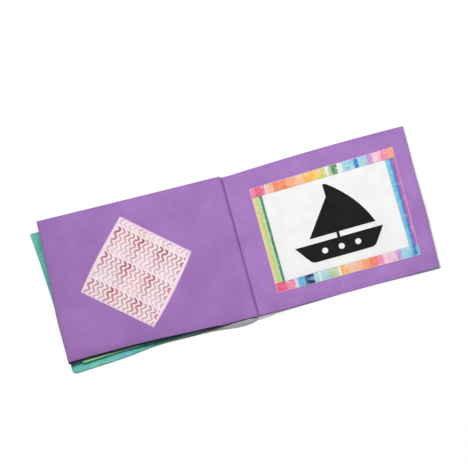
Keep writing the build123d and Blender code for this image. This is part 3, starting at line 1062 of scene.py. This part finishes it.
# Hem stitches: a running stitch of purple cotton thread along the back cover's free edges. It goes
# through the lining and holds the turned hem under it.
hem_from = 0.15  # share of the cover's width, from the spine, that has no stitch
hem_spots = 120  # points of the path along each edge
hem_lift = 0.05
hem_stitch = {"Pitch": 3.6, "Length": 2.6, "Thread": 0.4, "Slant": 0.0}
hem_thread = thread_material("purple_thread", dyed(168, 124, 194), dyed(150, 104, 176))
hem_across, hem_up = (hem_inset / size for size in back_plan[:2])
hem_turns = np.array([
    (hem_from, hem_up), (1 - hem_across, hem_up), (1 - hem_across, 1 - hem_up), (hem_from, 1 - hem_up)
])
hem_path = []
for turn_from, turn_to in zip(hem_turns, hem_turns[1:]):
    hem_shares = turn_from + (turn_to - turn_from) * np.linspace(0, 1, hem_spots, endpoint=False)[:, None]
    hem_out, hem_y, _ = back_plan[2](hem_shares[:, :1], hem_shares[:, 1:])
    for x, y in zip(seam_x + hem_out[:, 0], hem_y[:, 0]):
        hem_path.append((x, y, height_on(back_surface, x, y) + hem_lift))
hem_stitches = stitches("hem_stitches", hem_path, hem_thread, **hem_stitch)
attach(hem_stitches, "back_cover")

# Sailing boat: one shape cut from black cotton, with three holes for portholes, sewn flat to the
# white panel. Its mesh is cut into small cells so that it follows the cloth under it.
boat_cell = 4.0
weld = 1e-6


def black_dye(place):
    return place.clouds(14, dyed(14, 12, 13), dyed(22, 20, 21))


black_cotton = cotton("black_cloth", black_dye, slub_tint=0.12, sheen=0.03)
boat_cut = bmesh.new()
boat_cut.from_mesh(frame["nodes"]["boat_applique"].data)
bmesh.ops.remove_doubles(boat_cut, verts=boat_cut.verts, dist=weld)
boat_low, boat_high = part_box("boat_applique")
for axis in (0, 1):
    for cut in np.arange(boat_low[axis] / MM + boat_cell, boat_high[axis] / MM, boat_cell):
        spot, across = Vector((0, 0, 0)), Vector((0, 0, 0))
        spot[axis], across[axis] = cut * MM, 1
        whole = boat_cut.verts[:] + boat_cut.edges[:] + boat_cut.faces[:]
        bmesh.ops.bisect_plane(boat_cut, geom=whole, plane_co=spot, plane_no=across, dist=weld / 10)
for point in boat_cut.verts:
    ground = height_on(panel_surface, point.co.x / MM, point.co.y / MM) + sink
    point.co.z = ground * MM + point.co.z - boat_low.z
boat_mesh = bpy.data.meshes.new("boat_cloth")
boat_cut.to_mesh(boat_mesh)
boat_cut.free()
boat_mesh.materials.append(black_cotton)
boat = put_down(boat_mesh)
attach(boat, "back_cover")
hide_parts("boat_applique")

# Table, light and camera: a white table under a soft lamp behind the book's upper edge, a large weak
# one overhead and a weaker one in front. The camera is high above the lower edge, turned so that the
# book lies aslant.
table_reach = 3.0  # in metres, like the table's drop and the lamps' places and sizes
table_drop = -3e-4
table_grey = (0.8, 0.8, 0.8, 1)
white_light = (1, 1, 1, 1)
table_glow = 1.08
glow_share = 0.85  # the rest of what the camera sees of the table shows the book's shadow
table_mesh = bpy.data.meshes.new("table")
table_mesh.from_pydata(
    [(x * table_reach, y * table_reach, table_drop) for x, y in ((-1, -1), (1, -1), (1, 1), (-1, 1))],
    [], [(0, 1, 2, 3)],
)
table = put_down(table_mesh)


def shown_rays(tree):
    """1 for the rays that show a surface to the camera, also in gloss or glass, and 0 for others."""
    seen = Strand(tree).node("ShaderNodeLightPath", {}, "Is Camera Ray")
    return seen + seen.beside("Is Glossy Ray") + seen.beside("Is Transmission Ray")


table_white = bpy.data.materials.new("table_white")
table_white.use_nodes = True
table_tree = table_white.node_tree
table_tree.nodes.clear()
shown = shown_rays(table_tree)
matt = shown.node("ShaderNodeBsdfDiffuse", {"Color": table_grey})
glow = shown.node("ShaderNodeEmission", {"Color": white_light, "Strength": table_glow})
table_look = shown.node("ShaderNodeMixShader", {0: shown * glow_share, 1: matt, 2: glow})
table_end = table_tree.nodes.new("ShaderNodeOutputMaterial")
table_tree.links.new(table_look.socket, table_end.inputs["Surface"])
table_mesh.materials.append(table_white)

room_light = 0.08
studio = bpy.data.worlds.new("studio")
studio.use_nodes = True
backdrop = studio.node_tree.nodes["Background"].inputs
room_strength = room_light + shown_rays(studio.node_tree) * (1 - room_light)
studio.node_tree.links.new(room_strength.socket, backdrop["Strength"])
backdrop["Color"].default_value = white_light
bpy.context.scene.world = studio

for lamp_name, lamp_from, lamp_size, power in (
    ("key_lamp", (-0.12, 0.28, 1.3), 0.25, 8.4),
    ("soft_lamp", (0.2, 0.18, 0.6), 0.4, 2.0),
    ("front_lamp", (0.1, -0.9, 0.9), 0.6, 1.2),
):
    lamp = bpy.data.lights.new(lamp_name, "AREA")
    lamp.shape = "SQUARE"
    lamp.size = lamp_size
    lamp.energy = power
    lamp_object = bpy.data.objects.new(lamp_name, lamp)
    lamp_object.location = lamp_from
    lamp_object.rotation_euler = Vector(lamp_from).to_track_quat("Z", "Y").to_euler()
    bpy.context.collection.objects.link(lamp_object)

image_size = 468
sensor = 36.0
camera_tilt = math.radians(15.0)
camera_roll = math.radians(14.6)
camera_distance = 2300.0
mm_per_pixel = 1.05
seam_pixel = (240.0, 247.5)
seam_point = Vector((seam_x, -0.5, 6.0))
camera_back = Vector((0, -math.sin(camera_tilt), math.cos(camera_tilt)))
level = Vector((1, 0, 0))
upright = camera_back.cross(level)
camera_right = math.cos(camera_roll) * level - math.sin(camera_roll) * upright
camera_up = math.sin(camera_roll) * level + math.cos(camera_roll) * upright
eye = (
    seam_point + camera_back * camera_distance
    - camera_right * (seam_pixel[0] - image_size / 2) * mm_per_pixel
    + camera_up * (seam_pixel[1] - image_size / 2) * mm_per_pixel
)
camera = bpy.data.cameras.new("camera")
camera.sensor_width = sensor
camera.lens = camera_distance / mm_per_pixel / image_size * sensor
camera.clip_end = 20
camera_object = bpy.data.objects.new("camera", camera)
camera_turn = Matrix((camera_right, camera_up, camera_back)).transposed().to_4x4()
camera_object.matrix_world = Matrix.Translation(eye * MM) @ camera_turn
bpy.context.collection.objects.link(camera_object)
bpy.context.scene.camera = camera_object
bpy.context.scene.view_settings.view_transform = "Standard"
